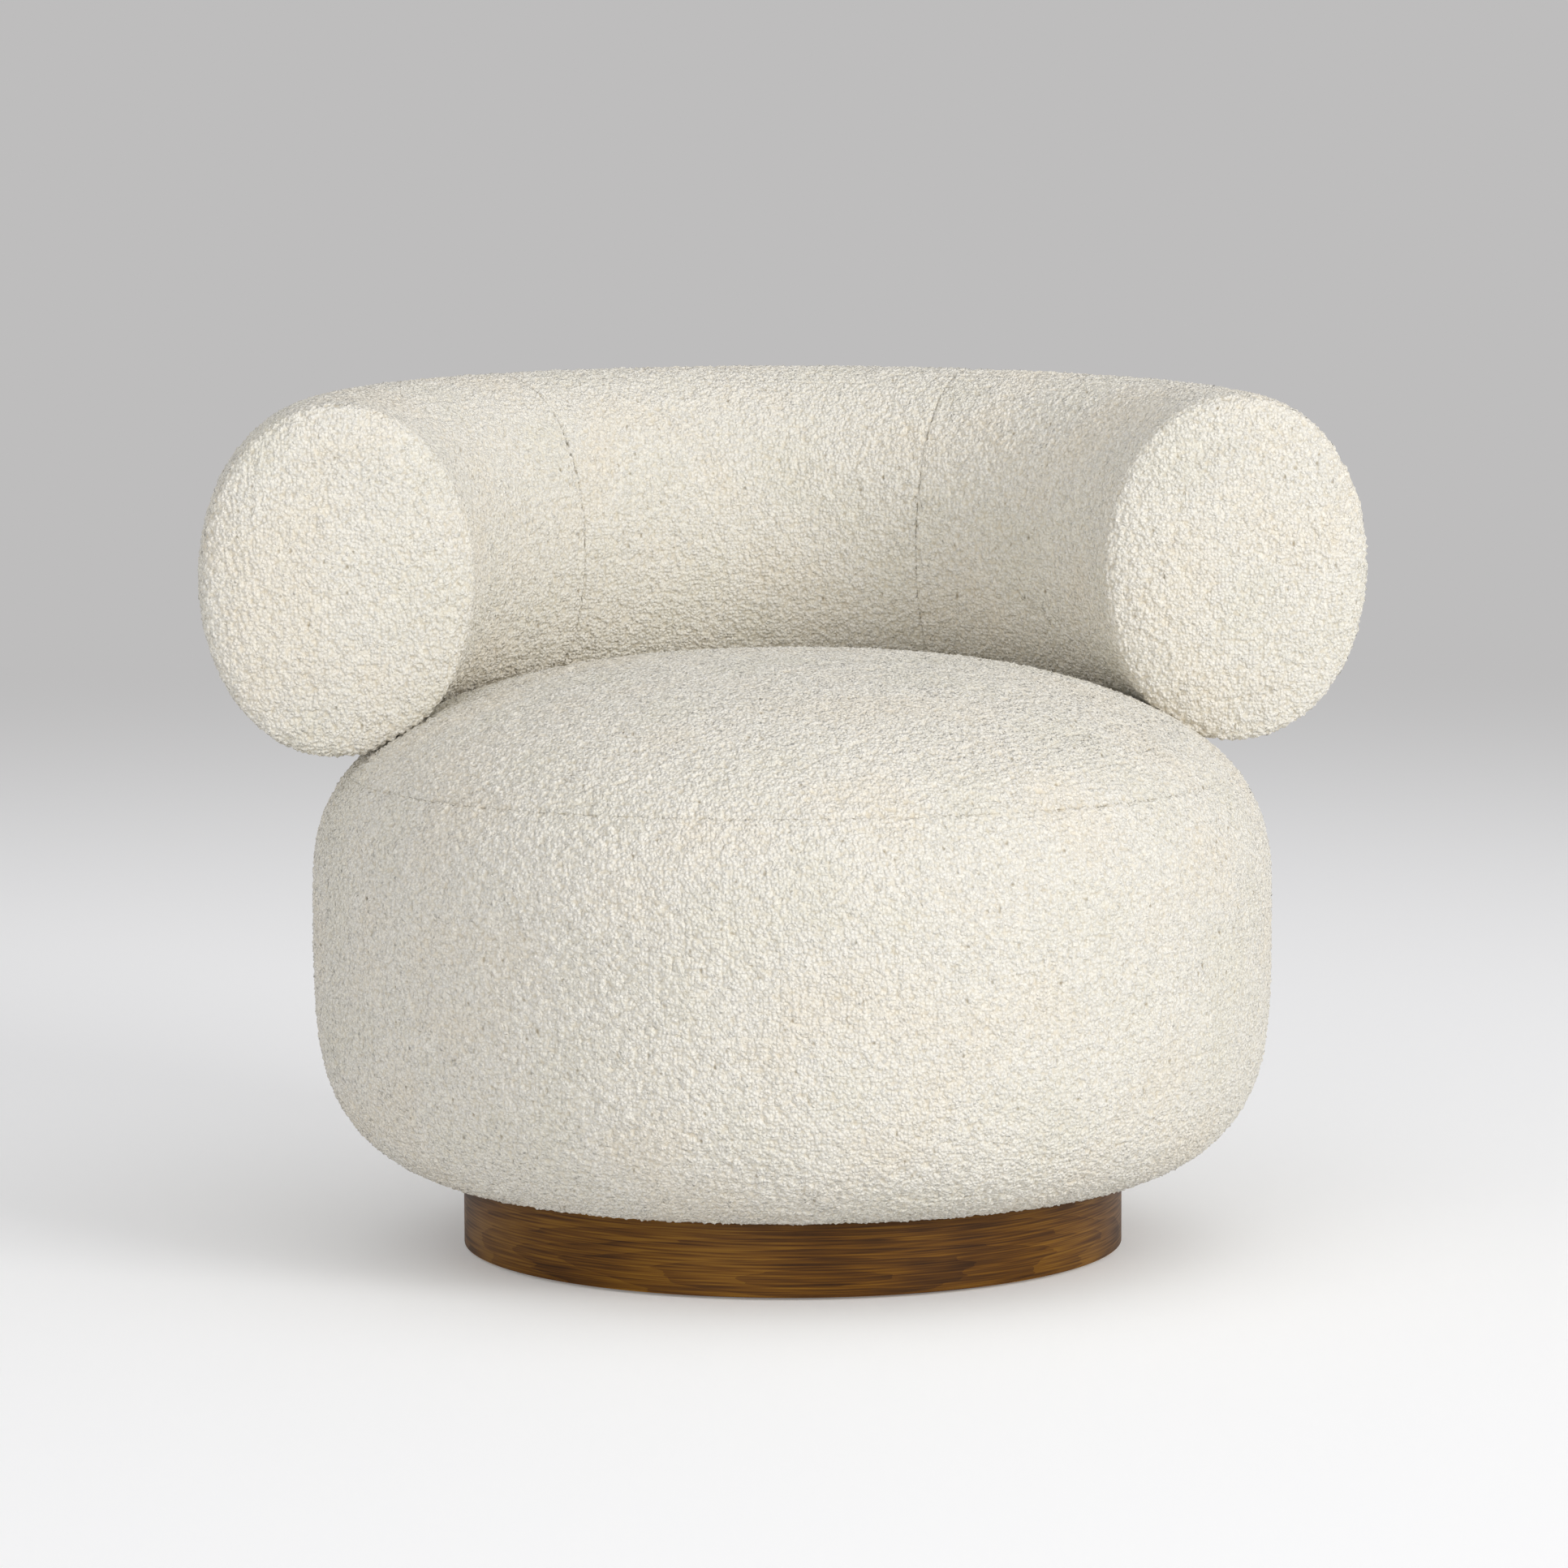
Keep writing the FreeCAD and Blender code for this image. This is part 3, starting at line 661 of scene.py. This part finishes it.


# %% [markdown]
# ### Boucle
# A wool-rich looped yarn in warm white. Light goes into the pile and comes back soft, so the
# surface is matt with some sheen. The gaps between the loops are painted darker and warmer than
# their tops: painted shade. The mesh carries the large loops. The material adds the curls in
# them, small slits where loops part, both as bumps and as painted shade, and a slight change of
# tone from place to place.

# %% The boucle material, its patterns in millimetres
curl_size = 2.7
fibre_size = 0.9
slit_size = 9
patch_size = 80
drift_size = 7

# How far the drift bends the pattern, in metres, and the cloth's ups and downs beside a curl's 1.
# The loops' and the seams' shares only darken the colour: painted shade in the hollows and grooves.
drift_reach = 0.002
fibre_height = 0.4
loop_shade_share = 0.5
slit_depth = 0.55
seam_shade_depth = 0.08


def make_boucle():
    material, tree = new_material("boucle_cream")
    place = add_node(tree, "ShaderNodeTexCoord").outputs["Object"]
    drift = add_node(tree, "ShaderNodeTexNoise",
                     {"Vector": place, "Scale": per_metre(drift_size), "Detail": 1})
    bend = add_node(tree, "ShaderNodeVectorMath",
                    {0: drift.outputs["Color"], 1: (0.5, 0.5, 0.5)}, operation="SUBTRACT")
    wander = add_node(tree, "ShaderNodeVectorMath",
                      {0: bend.outputs["Vector"], "Scale": drift_reach}, operation="SCALE")
    bent = add_node(tree, "ShaderNodeVectorMath",
                    {0: place, 1: wander.outputs["Vector"]}, operation="ADD").outputs["Vector"]

    # A randomness below 1 keeps the curls in loose rows and columns, as the weave does.
    curls = add_node(tree, "ShaderNodeTexVoronoi",
                     {"Vector": bent, "Scale": per_metre(curl_size), "Randomness": 0.8})
    fibres = add_node(tree, "ShaderNodeTexNoise",
                      {"Vector": bent, "Scale": per_metre(fibre_size), "Detail": 2})
    stretch = add_node(tree, "ShaderNodeMapping", {"Vector": bent, "Scale": (1, 1, 0.5)})
    slits = add_node(tree, "ShaderNodeTexVoronoi",
                     {"Vector": stretch.outputs["Vector"], "Scale": per_metre(slit_size)})
    slit = add_node(tree, "ShaderNodeMapRange",
                    {"Value": slits.outputs["Distance"], "From Min": 0.03, "From Max": 0.17,
                     "To Min": 1, "To Max": 0}, interpolation_type="SMOOTHSTEP")
    curl = add_node(tree, "ShaderNodeMapRange",
                    {"Value": curls.outputs["Distance"], "From Min": 0.1, "From Max": 0.75,
                     "To Min": 1, "To Max": 0})
    round_curl = add_node(tree, "ShaderNodeMath",
                          {0: fibres.outputs["Fac"], 1: fibre_height, 2: curl.outputs["Result"]},
                          operation="MULTIPLY_ADD")
    relief = add_node(tree, "ShaderNodeMath",
                      {0: slit.outputs["Result"], 1: -slit_depth, 2: round_curl.outputs["Value"]},
                      operation="MULTIPLY_ADD")

    # The colour is painted shade: the lower a place lies, the darker and warmer it is painted.
    loop = add_node(tree, "ShaderNodeAttribute", attribute_name="loop").outputs["Fac"]
    seam = add_node(tree, "ShaderNodeAttribute", attribute_name="seam").outputs["Fac"]
    # Along each seam the groove is painted darker, as painted shade.
    seam_groove_shade = add_node(tree, "ShaderNodeMapRange",
                      {"Value": seam, "From Min": 0.0003, "From Max": 0.0018,
                       "To Min": 1, "To Max": 0}, interpolation_type="SMOOTHSTEP")
    height = add_node(tree, "ShaderNodeMath",
                      {0: loop, 1: loop_shade_share, 2: relief.outputs["Value"]},
                      operation="MULTIPLY_ADD")
    depth = add_node(tree, "ShaderNodeMath",
                     {0: seam_groove_shade.outputs["Result"], 1: -seam_shade_depth, 2: height.outputs["Value"]},
                     operation="MULTIPLY_ADD")
    tone = add_node(tree, "ShaderNodeMapRange",
                    {"Value": depth.outputs["Value"], "From Min": -0.4, "From Max": 1.2})
    # Painted shade: darkest and warmest in the hollows, palest on the loop tops.
    painted_cavity_shade = colour_steps(tree, tone.outputs["Result"],
                         [(0.0, "#B3A68E"), (0.25, "#DDD4C1"), (0.5, "#F3EEE1"), (1.0, "#FBF8F0")])
    patches = add_node(tree, "ShaderNodeTexNoise",
                       {"Vector": place, "Scale": per_metre(patch_size), "Detail": 3})
    patch = colour_steps(tree, patches.outputs["Fac"],
                         [(0.35, "#FFFDFA"), (0.5, "#FFFFFF"), (0.65, "#FCFCFA")])
    cloth = add_node(tree, "ShaderNodeMix", {"Factor": 1.0, 6: painted_cavity_shade, 7: patch},
                     data_type="RGBA", blend_type="MULTIPLY")
    bump = add_node(tree, "ShaderNodeBump",
                    {"Height": relief.outputs["Value"], "Strength": 1.0, "Distance": 0.0016})
    surface = finish_surface(tree, {
        "Base Color": cloth.outputs[2], "Normal": bump.outputs["Normal"],
        "Roughness": 0.92, "Specular IOR Level": 0.2, "Sheen Weight": 0.2,
        "Sheen Roughness": 0.6})
    surface.inputs["Sheen Tint"].default_value = srgb("#FFFAF0")
    return material


boucle = make_boucle()
print("boucle: curls of", curl_size, "mm on loops of", round(1000 * loop_size, 1), "mm")

# %% The covers get their cloth and body, and the solids they stand for are hidden
replaced = {
    crown: ("seat_top_cover", "seat_foam"),
    boxing: ("side_boxing", "side_foam"),
    back: ("bolster_cover_centre", "bolster_foam"),
    arms[1]: ("bolster_cover_left",),
    arms[-1]: ("bolster_cover_right",),
    caps[1]: ("arm_cap_left",),
    caps[-1]: ("arm_cap_right",),
}
for piece in covers:
    piece.data.materials.clear()
    piece.data.materials.append(boucle)
    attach(piece, "seat")
    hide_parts(*replaced[piece])
print(len(covers), "cover pieces ride on the seat")

# %% [markdown]
# ### Stained walnut veneer
# A thin slice of walnut, stained dark and sealed with a satin lacquer, is glued round the plinth
# with its grain lying along the wall. Its pattern reads the place on the wall: the way round and
# the height. Long ovals make the arched figure at the front, and stretched noise makes the pores.
# Real pores are about 0.3 mm wide, too fine to show, so they are drawn 1.3 mm wide.

# %% The veneer, its patterns in millimetres
wall_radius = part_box("plinth_veneer")[1].x
figure_spacing = 7.0
figure_depth = 0.12
pore_size = 1.3
streak_size = 5
cloud_size = 90
warp_size = 14
figure_squeeze = 0.11

# The figure's middle and the reach of its warp are in metres on the wall.
figure_middle = (0.002, -0.016, 0)
warp_reach = 0.016


def make_walnut_veneer():
    material, tree = new_material("walnut_veneer_satin")
    place = add_node(tree, "ShaderNodeTexCoord").outputs["Object"]
    parts = add_node(tree, "ShaderNodeSeparateXYZ", {0: place}).outputs
    front = add_node(tree, "ShaderNodeMath", {0: parts["Y"], 1: -1.0}, operation="MULTIPLY")
    angle = add_node(tree, "ShaderNodeMath", {0: parts["X"], 1: front.outputs["Value"]},
                     operation="ARCTAN2")
    along = add_node(tree, "ShaderNodeMath", {0: angle.outputs["Value"], 1: wall_radius},
                     operation="MULTIPLY").outputs["Value"]
    wall = add_node(tree, "ShaderNodeCombineXYZ", {"X": along, "Y": parts["Z"]}).outputs["Vector"]

    def grain(size, squeeze, detail):
        """Noise of a size, drawn out along the wall by `squeeze`."""
        way = add_node(tree, "ShaderNodeMapping", {"Vector": wall, "Scale": (squeeze, 1, 1)})
        return add_node(tree, "ShaderNodeTexNoise",
                        {"Vector": way.outputs["Vector"], "Scale": per_metre(size),
                         "Detail": detail}).outputs["Fac"]

    figure_way = add_node(tree, "ShaderNodeMapping",
                          {"Vector": wall, "Location": figure_middle,
                           "Scale": (figure_squeeze, 1, 1)})
    oval = add_node(tree, "ShaderNodeVectorMath", {0: figure_way.outputs["Vector"]},
                    operation="LENGTH")
    warped = add_node(tree, "ShaderNodeMath",
                      {0: grain(warp_size, 0.07, 3), 1: warp_reach, 2: oval.outputs["Value"]},
                      operation="MULTIPLY_ADD")
    ring = add_node(tree, "ShaderNodeMath",
                    {0: warped.outputs["Value"], 1: per_metre(figure_spacing)},
                    operation="MULTIPLY")
    ring_share = add_node(tree, "ShaderNodeMath", {0: ring.outputs["Value"]}, operation="FRACT")
    pores = grain(pore_size, 0.02, 1)
    streaks = grain(streak_size, 0.04, 2)
    clouds = grain(cloud_size, 0.7, 2)
    tone = add_node(tree, "ShaderNodeMath", {0: ring_share.outputs["Value"], 1: -figure_depth},
                    operation="MULTIPLY")
    for layer, weight in ((pores, 0.7), (streaks, 0.15), (clouds, 0.6)):
        tone = add_node(tree, "ShaderNodeMath", {0: layer, 1: weight, 2: tone.outputs["Value"]},
                        operation="MULTIPLY_ADD")
    stain = colour_steps(tree, tone.outputs["Value"],
                         [(0.44, "#351D02"), (0.59, "#4F2F05"), (0.71, "#684209"),
                          (0.85, "#7F5714")])
    gloss = add_node(tree, "ShaderNodeMapRange",
                     {"Value": tone.outputs["Value"], "From Min": 0.45, "From Max": 0.85,
                      "To Min": 0.5, "To Max": 0.38})
    bump = add_node(tree, "ShaderNodeBump",
                    {"Height": pores, "Strength": 0.4, "Distance": 0.0002})
    finish_surface(tree, {
        "Base Color": stain, "Roughness": gloss.outputs["Result"], "Normal": bump.outputs["Normal"],
        "Specular IOR Level": 0.18, "Coat Weight": 0.04, "Coat Roughness": 0.3})
    return material


walnut = make_walnut_veneer()
print("walnut veneer round a wall of radius", round(wall_radius, 3), "m")

# %% [markdown]
# ### What is inside and underneath
# The rest is rarely seen, but each part still has its real finish. Plywood shows its glued layers
# on every cut edge. Hardboard is pressed brown fibre. The swivel is zinc-plated pressed steel with
# polished balls in a nylon cage. The glides are moulded black plastic. The webbing is a ribbed
# elastic weave, and the dust cover is a thin bonded black cloth.

# %% Plywood, with layers across its thickness, in millimetres
layer_size = 1.4
plywood_grain = 3


def make_plywood():
    material, tree = new_material("birch_plywood_sanded")
    place = add_node(tree, "ShaderNodeTexCoord").outputs["Object"]
    lengthwise = add_node(tree, "ShaderNodeMapping", {"Vector": place, "Scale": (0.06, 1, 1)})
    grain = add_node(tree, "ShaderNodeTexNoise",
                     {"Vector": lengthwise.outputs["Vector"], "Scale": per_metre(plywood_grain),
                      "Detail": 4})
    height = add_node(tree, "ShaderNodeSeparateXYZ", {0: place}).outputs["Z"]
    layer = add_node(tree, "ShaderNodeMath", {0: height, 1: per_metre(layer_size)},
                     operation="MULTIPLY")
    stripe = add_node(tree, "ShaderNodeMath", {0: layer.outputs["Value"], 1: 1.0},
                      operation="PINGPONG")
    tone = add_node(tree, "ShaderNodeMath",
                    {0: stripe.outputs["Value"], 1: 0.35, 2: grain.outputs["Fac"]},
                    operation="MULTIPLY_ADD")
    wood = colour_steps(tree, tone.outputs["Value"],
                        [(0.35, "#A57C4C"), (0.6, "#C9A470"), (0.9, "#E0C597")])
    bump = add_node(tree, "ShaderNodeBump",
                    {"Height": grain.outputs["Fac"], "Strength": 0.3, "Distance": 0.0002})
    finish_surface(tree, {"Base Color": wood, "Roughness": 0.65, "Normal": bump.outputs["Normal"]})
    return material


plywood = make_plywood()


# %% Finishes that are fine grains of a few tones
def make_grained(name, grain_size, steps, relief, inputs, stretch=(1, 1, 1)):
    """A finish of small grains: its tones from low to high, and the depth of its relief."""
    material, tree = new_material(name)
    place = add_node(tree, "ShaderNodeTexCoord").outputs["Object"]
    way = add_node(tree, "ShaderNodeMapping", {"Vector": place, "Scale": stretch})
    grains = add_node(tree, "ShaderNodeTexNoise",
                      {"Vector": way.outputs["Vector"], "Scale": per_metre(grain_size),
                       "Detail": 3})
    tones = colour_steps(tree, grains.outputs["Fac"], steps)
    bump = add_node(tree, "ShaderNodeBump",
                    {"Height": grains.outputs["Fac"], "Strength": 0.5, "Distance": relief})
    finish_surface(tree, {"Base Color": tones, "Normal": bump.outputs["Normal"], **inputs})
    return material


hardboard = make_grained("hardboard_pressed", 1.6, [(0.35, "#5E4227"), (0.65, "#80603C")],
                         0.0003, {"Roughness": 0.7}, stretch=(1, 1, 0.4))
zinc_steel = make_grained("steel_zinc_plated", 12, [(0.35, "#B9BCC2"), (0.65, "#CDCFD2")],
                          0.0001, {"Metallic": 1.0, "Roughness": 0.34})
ball_steel = make_grained("steel_ball_polished", 5, [(0.3, "#D2D3D6"), (0.7, "#DEDFE1")],
                          0.00002, {"Metallic": 1.0, "Roughness": 0.12})
nylon = make_grained("nylon_moulded", 2, [(0.35, "#CFCBBF"), (0.65, "#DAD6CB")],
                     0.0001, {"Roughness": 0.45})
glide_plastic = make_grained("black_plastic_moulded", 1.2, [(0.35, "#161616"), (0.65, "#202020")],
                             0.0002, {"Roughness": 0.5})
black_cloth = make_grained("black_bonded_cloth", 1.5, [(0.35, "#151516"), (0.65, "#242426")],
                           0.0004, {"Roughness": 0.9})
print("hardboard, steel, nylon, plastic and bonded cloth")

# %% Webbing, ribbed both ways so that every strap reads as woven
# At this scale the wave pattern has a rib every 16 mm.
rib_scale = 20


def make_webbing():
    material, tree = new_material("webbing_elastic")
    place = add_node(tree, "ShaderNodeTexCoord").outputs["Object"]
    ribs = [add_node(tree, "ShaderNodeTexWave", {"Vector": place, "Scale": rib_scale},
                     bands_direction=way).outputs["Fac"] for way in ("X", "Y")]
    weave = add_node(tree, "ShaderNodeMath", {0: ribs[0], 1: ribs[1]}, operation="MULTIPLY")
    tones = colour_steps(tree, weave.outputs["Value"], [(0.1, "#141416"), (0.7, "#36363A")])
    bump = add_node(tree, "ShaderNodeBump",
                    {"Height": weave.outputs["Value"], "Strength": 0.8, "Distance": 0.0004})
    finish_surface(tree, {"Base Color": tones, "Roughness": 0.8, "Normal": bump.outputs["Normal"]})
    return material


webbing = make_webbing()

# %% Every solid that stays gets its finish
finishes = {
    "walnut_veneer": walnut, "plywood": plywood, "fibreboard": hardboard,
    "zinc_steel": zinc_steel, "ball_steel": ball_steel, "cage_plastic": nylon,
    "glide_plastic": glide_plastic, "webbing": webbing, "black_cloth": black_cloth,
}
hidden = {name for names in replaced.values() for name in names}
slot_of = {part["node"]: part["material_slot"] for part in frame["record"]["subparts"]}
for name, solid in frame["nodes"].items():
    if name in hidden:
        continue
    if not solid.material_slots:
        solid.data.materials.append(None)
    for place in solid.material_slots:
        place.material = finishes[slot_of[name]]
print(len(frame["nodes"]) - len(hidden), "solids finished")

# %% [markdown]
# ## Floor, light and camera
# The chair stands on a plain pale floor under soft studio light: a large key light from the front
# right, a weaker fill from the left, a soft light from above, and an even glow from the world.

# %% Floor and background
floor_radius = 6
fade_from = 1.3
fade_to = 4.8
seen_paler = 0.15
backdrop_grey = srgb("#BEBDBD")
bpy.ops.object.select_all(action="DESELECT")
bpy.ops.mesh.primitive_circle_add(vertices=96, radius=floor_radius, fill_type="NGON")
floor = bpy.context.object
floor.name = "floor"
floor_paint, floor_tree = new_material("floor_paint")
floor_place = add_node(floor_tree, "ShaderNodeTexCoord").outputs["Object"]
distance = add_node(floor_tree, "ShaderNodeVectorMath", {0: floor_place}, operation="LENGTH")
fade = add_node(floor_tree, "ShaderNodeMapRange",
                {"Value": distance.outputs["Value"], "From Min": fade_from, "From Max": fade_to},
                interpolation_type="SMOOTHSTEP")
seen = add_node(floor_tree, "ShaderNodeLightPath").outputs["Is Camera Ray"]
far = add_node(floor_tree, "ShaderNodeMath", {0: fade.outputs["Result"], 1: seen},
               operation="MULTIPLY")
paint = add_node(floor_tree, "ShaderNodeBsdfPrincipled",
                 {"Base Color": srgb("#F2F2F2"), "Roughness": 0.7, "Specular IOR Level": 0.2})
haze = add_node(floor_tree, "ShaderNodeEmission", {"Color": backdrop_grey, "Strength": 1.0})
# The camera sees the floor a little paler than it lights the chair.
paleness = add_node(floor_tree, "ShaderNodeMath", {0: seen, 1: seen_paler}, operation="MULTIPLY")
paler = add_node(floor_tree, "ShaderNodeEmission", {"Strength": paleness.outputs["Value"]})
pale_paint = add_node(floor_tree, "ShaderNodeAddShader",
                      {0: paint.outputs["BSDF"], 1: paler.outputs["Emission"]})
floor_mix = add_node(floor_tree, "ShaderNodeMixShader",
                     {0: far.outputs["Value"], 1: pale_paint.outputs["Shader"],
                      2: haze.outputs["Emission"]})
add_node(floor_tree, "ShaderNodeOutputMaterial", {"Surface": floor_mix.outputs["Shader"]})
floor.data.materials.append(floor_paint)

world = bpy.data.worlds.new("studio")
bpy.context.scene.world = world
world.use_nodes = True
sky = world.node_tree
sky.nodes.clear()
path = add_node(sky, "ShaderNodeLightPath")
glow = add_node(sky, "ShaderNodeBackground", {"Color": srgb("#F5F5F7"), "Strength": 0.62})
seen_grey = add_node(sky, "ShaderNodeBackground", {"Color": backdrop_grey, "Strength": 1.0})
either = add_node(sky, "ShaderNodeMath",
                  {0: path.outputs["Is Camera Ray"], 1: path.outputs["Is Glossy Ray"]},
                  operation="MAXIMUM")
sky_mix = add_node(sky, "ShaderNodeMixShader",
                   {0: either.outputs["Value"], 1: glow.outputs["Background"],
                    2: seen_grey.outputs["Background"]})
add_node(sky, "ShaderNodeOutputWorld", {"Surface": sky_mix.outputs["Shader"]})
print("floor", floor_radius, "m in radius")

# %% Lamps, with their places and sizes in metres and their power in watts
chair_middle = Vector((0, 0, 0.35))


def soft_lamp(name, place, size, power):
    """A square area light that faces the middle of the chair."""
    lamp = bpy.data.lights.new(name, "AREA")
    lamp.size = size
    lamp.energy = power
    holder = bpy.data.objects.new(name, lamp)
    bpy.context.scene.collection.objects.link(holder)
    holder.location = place
    aim = chair_middle - Vector(place)
    holder.rotation_euler = aim.to_track_quat("-Z", "Y").to_euler()


soft_lamp("key", (3.8, -4.5, 2.4), 2.4, 175)
soft_lamp("fill", (-2.6, -4.6, 1.0), 3.2, 62)
soft_lamp("top", (0.3, -0.2, 2.8), 2.0, 7)
print("three soft lamps")

# %% [markdown]
# The camera was fitted to the outlines in the photograph together with the chair's shape: a long
# lens about 4.6 m away, a little to the left and higher than the chair, looking slightly down.

# %% Camera
image_width = 1932
camera_distance = 4.6252
camera_height = 0.8491
camera_shift = -0.7231
focal_pixels = 7926.3
yaw, pitch, roll = 0.1539, 0.1088, -0.0031
sensor_width = 36

ahead = Vector((math.sin(yaw) * math.cos(pitch), math.cos(yaw) * math.cos(pitch), -math.sin(pitch)))
level_right = Vector((math.cos(yaw), -math.sin(yaw), 0))
level_up = level_right.cross(ahead)
right = math.cos(roll) * level_right + math.sin(roll) * level_up
up = -math.sin(roll) * level_right + math.cos(roll) * level_up
camera = bpy.data.cameras.new("camera")
camera.sensor_width = sensor_width
camera.lens = focal_pixels / image_width * sensor_width
holder = bpy.data.objects.new("camera", camera)
bpy.context.scene.collection.objects.link(holder)
turn = Matrix((right, up, -ahead)).transposed().to_4x4()
holder.matrix_world = Matrix.Translation((camera_shift, -camera_distance, camera_height)) @ turn
bpy.context.scene.camera = holder
bpy.context.scene.view_settings.view_transform = "Standard"
print(f"lens {camera.lens:.1f} mm")
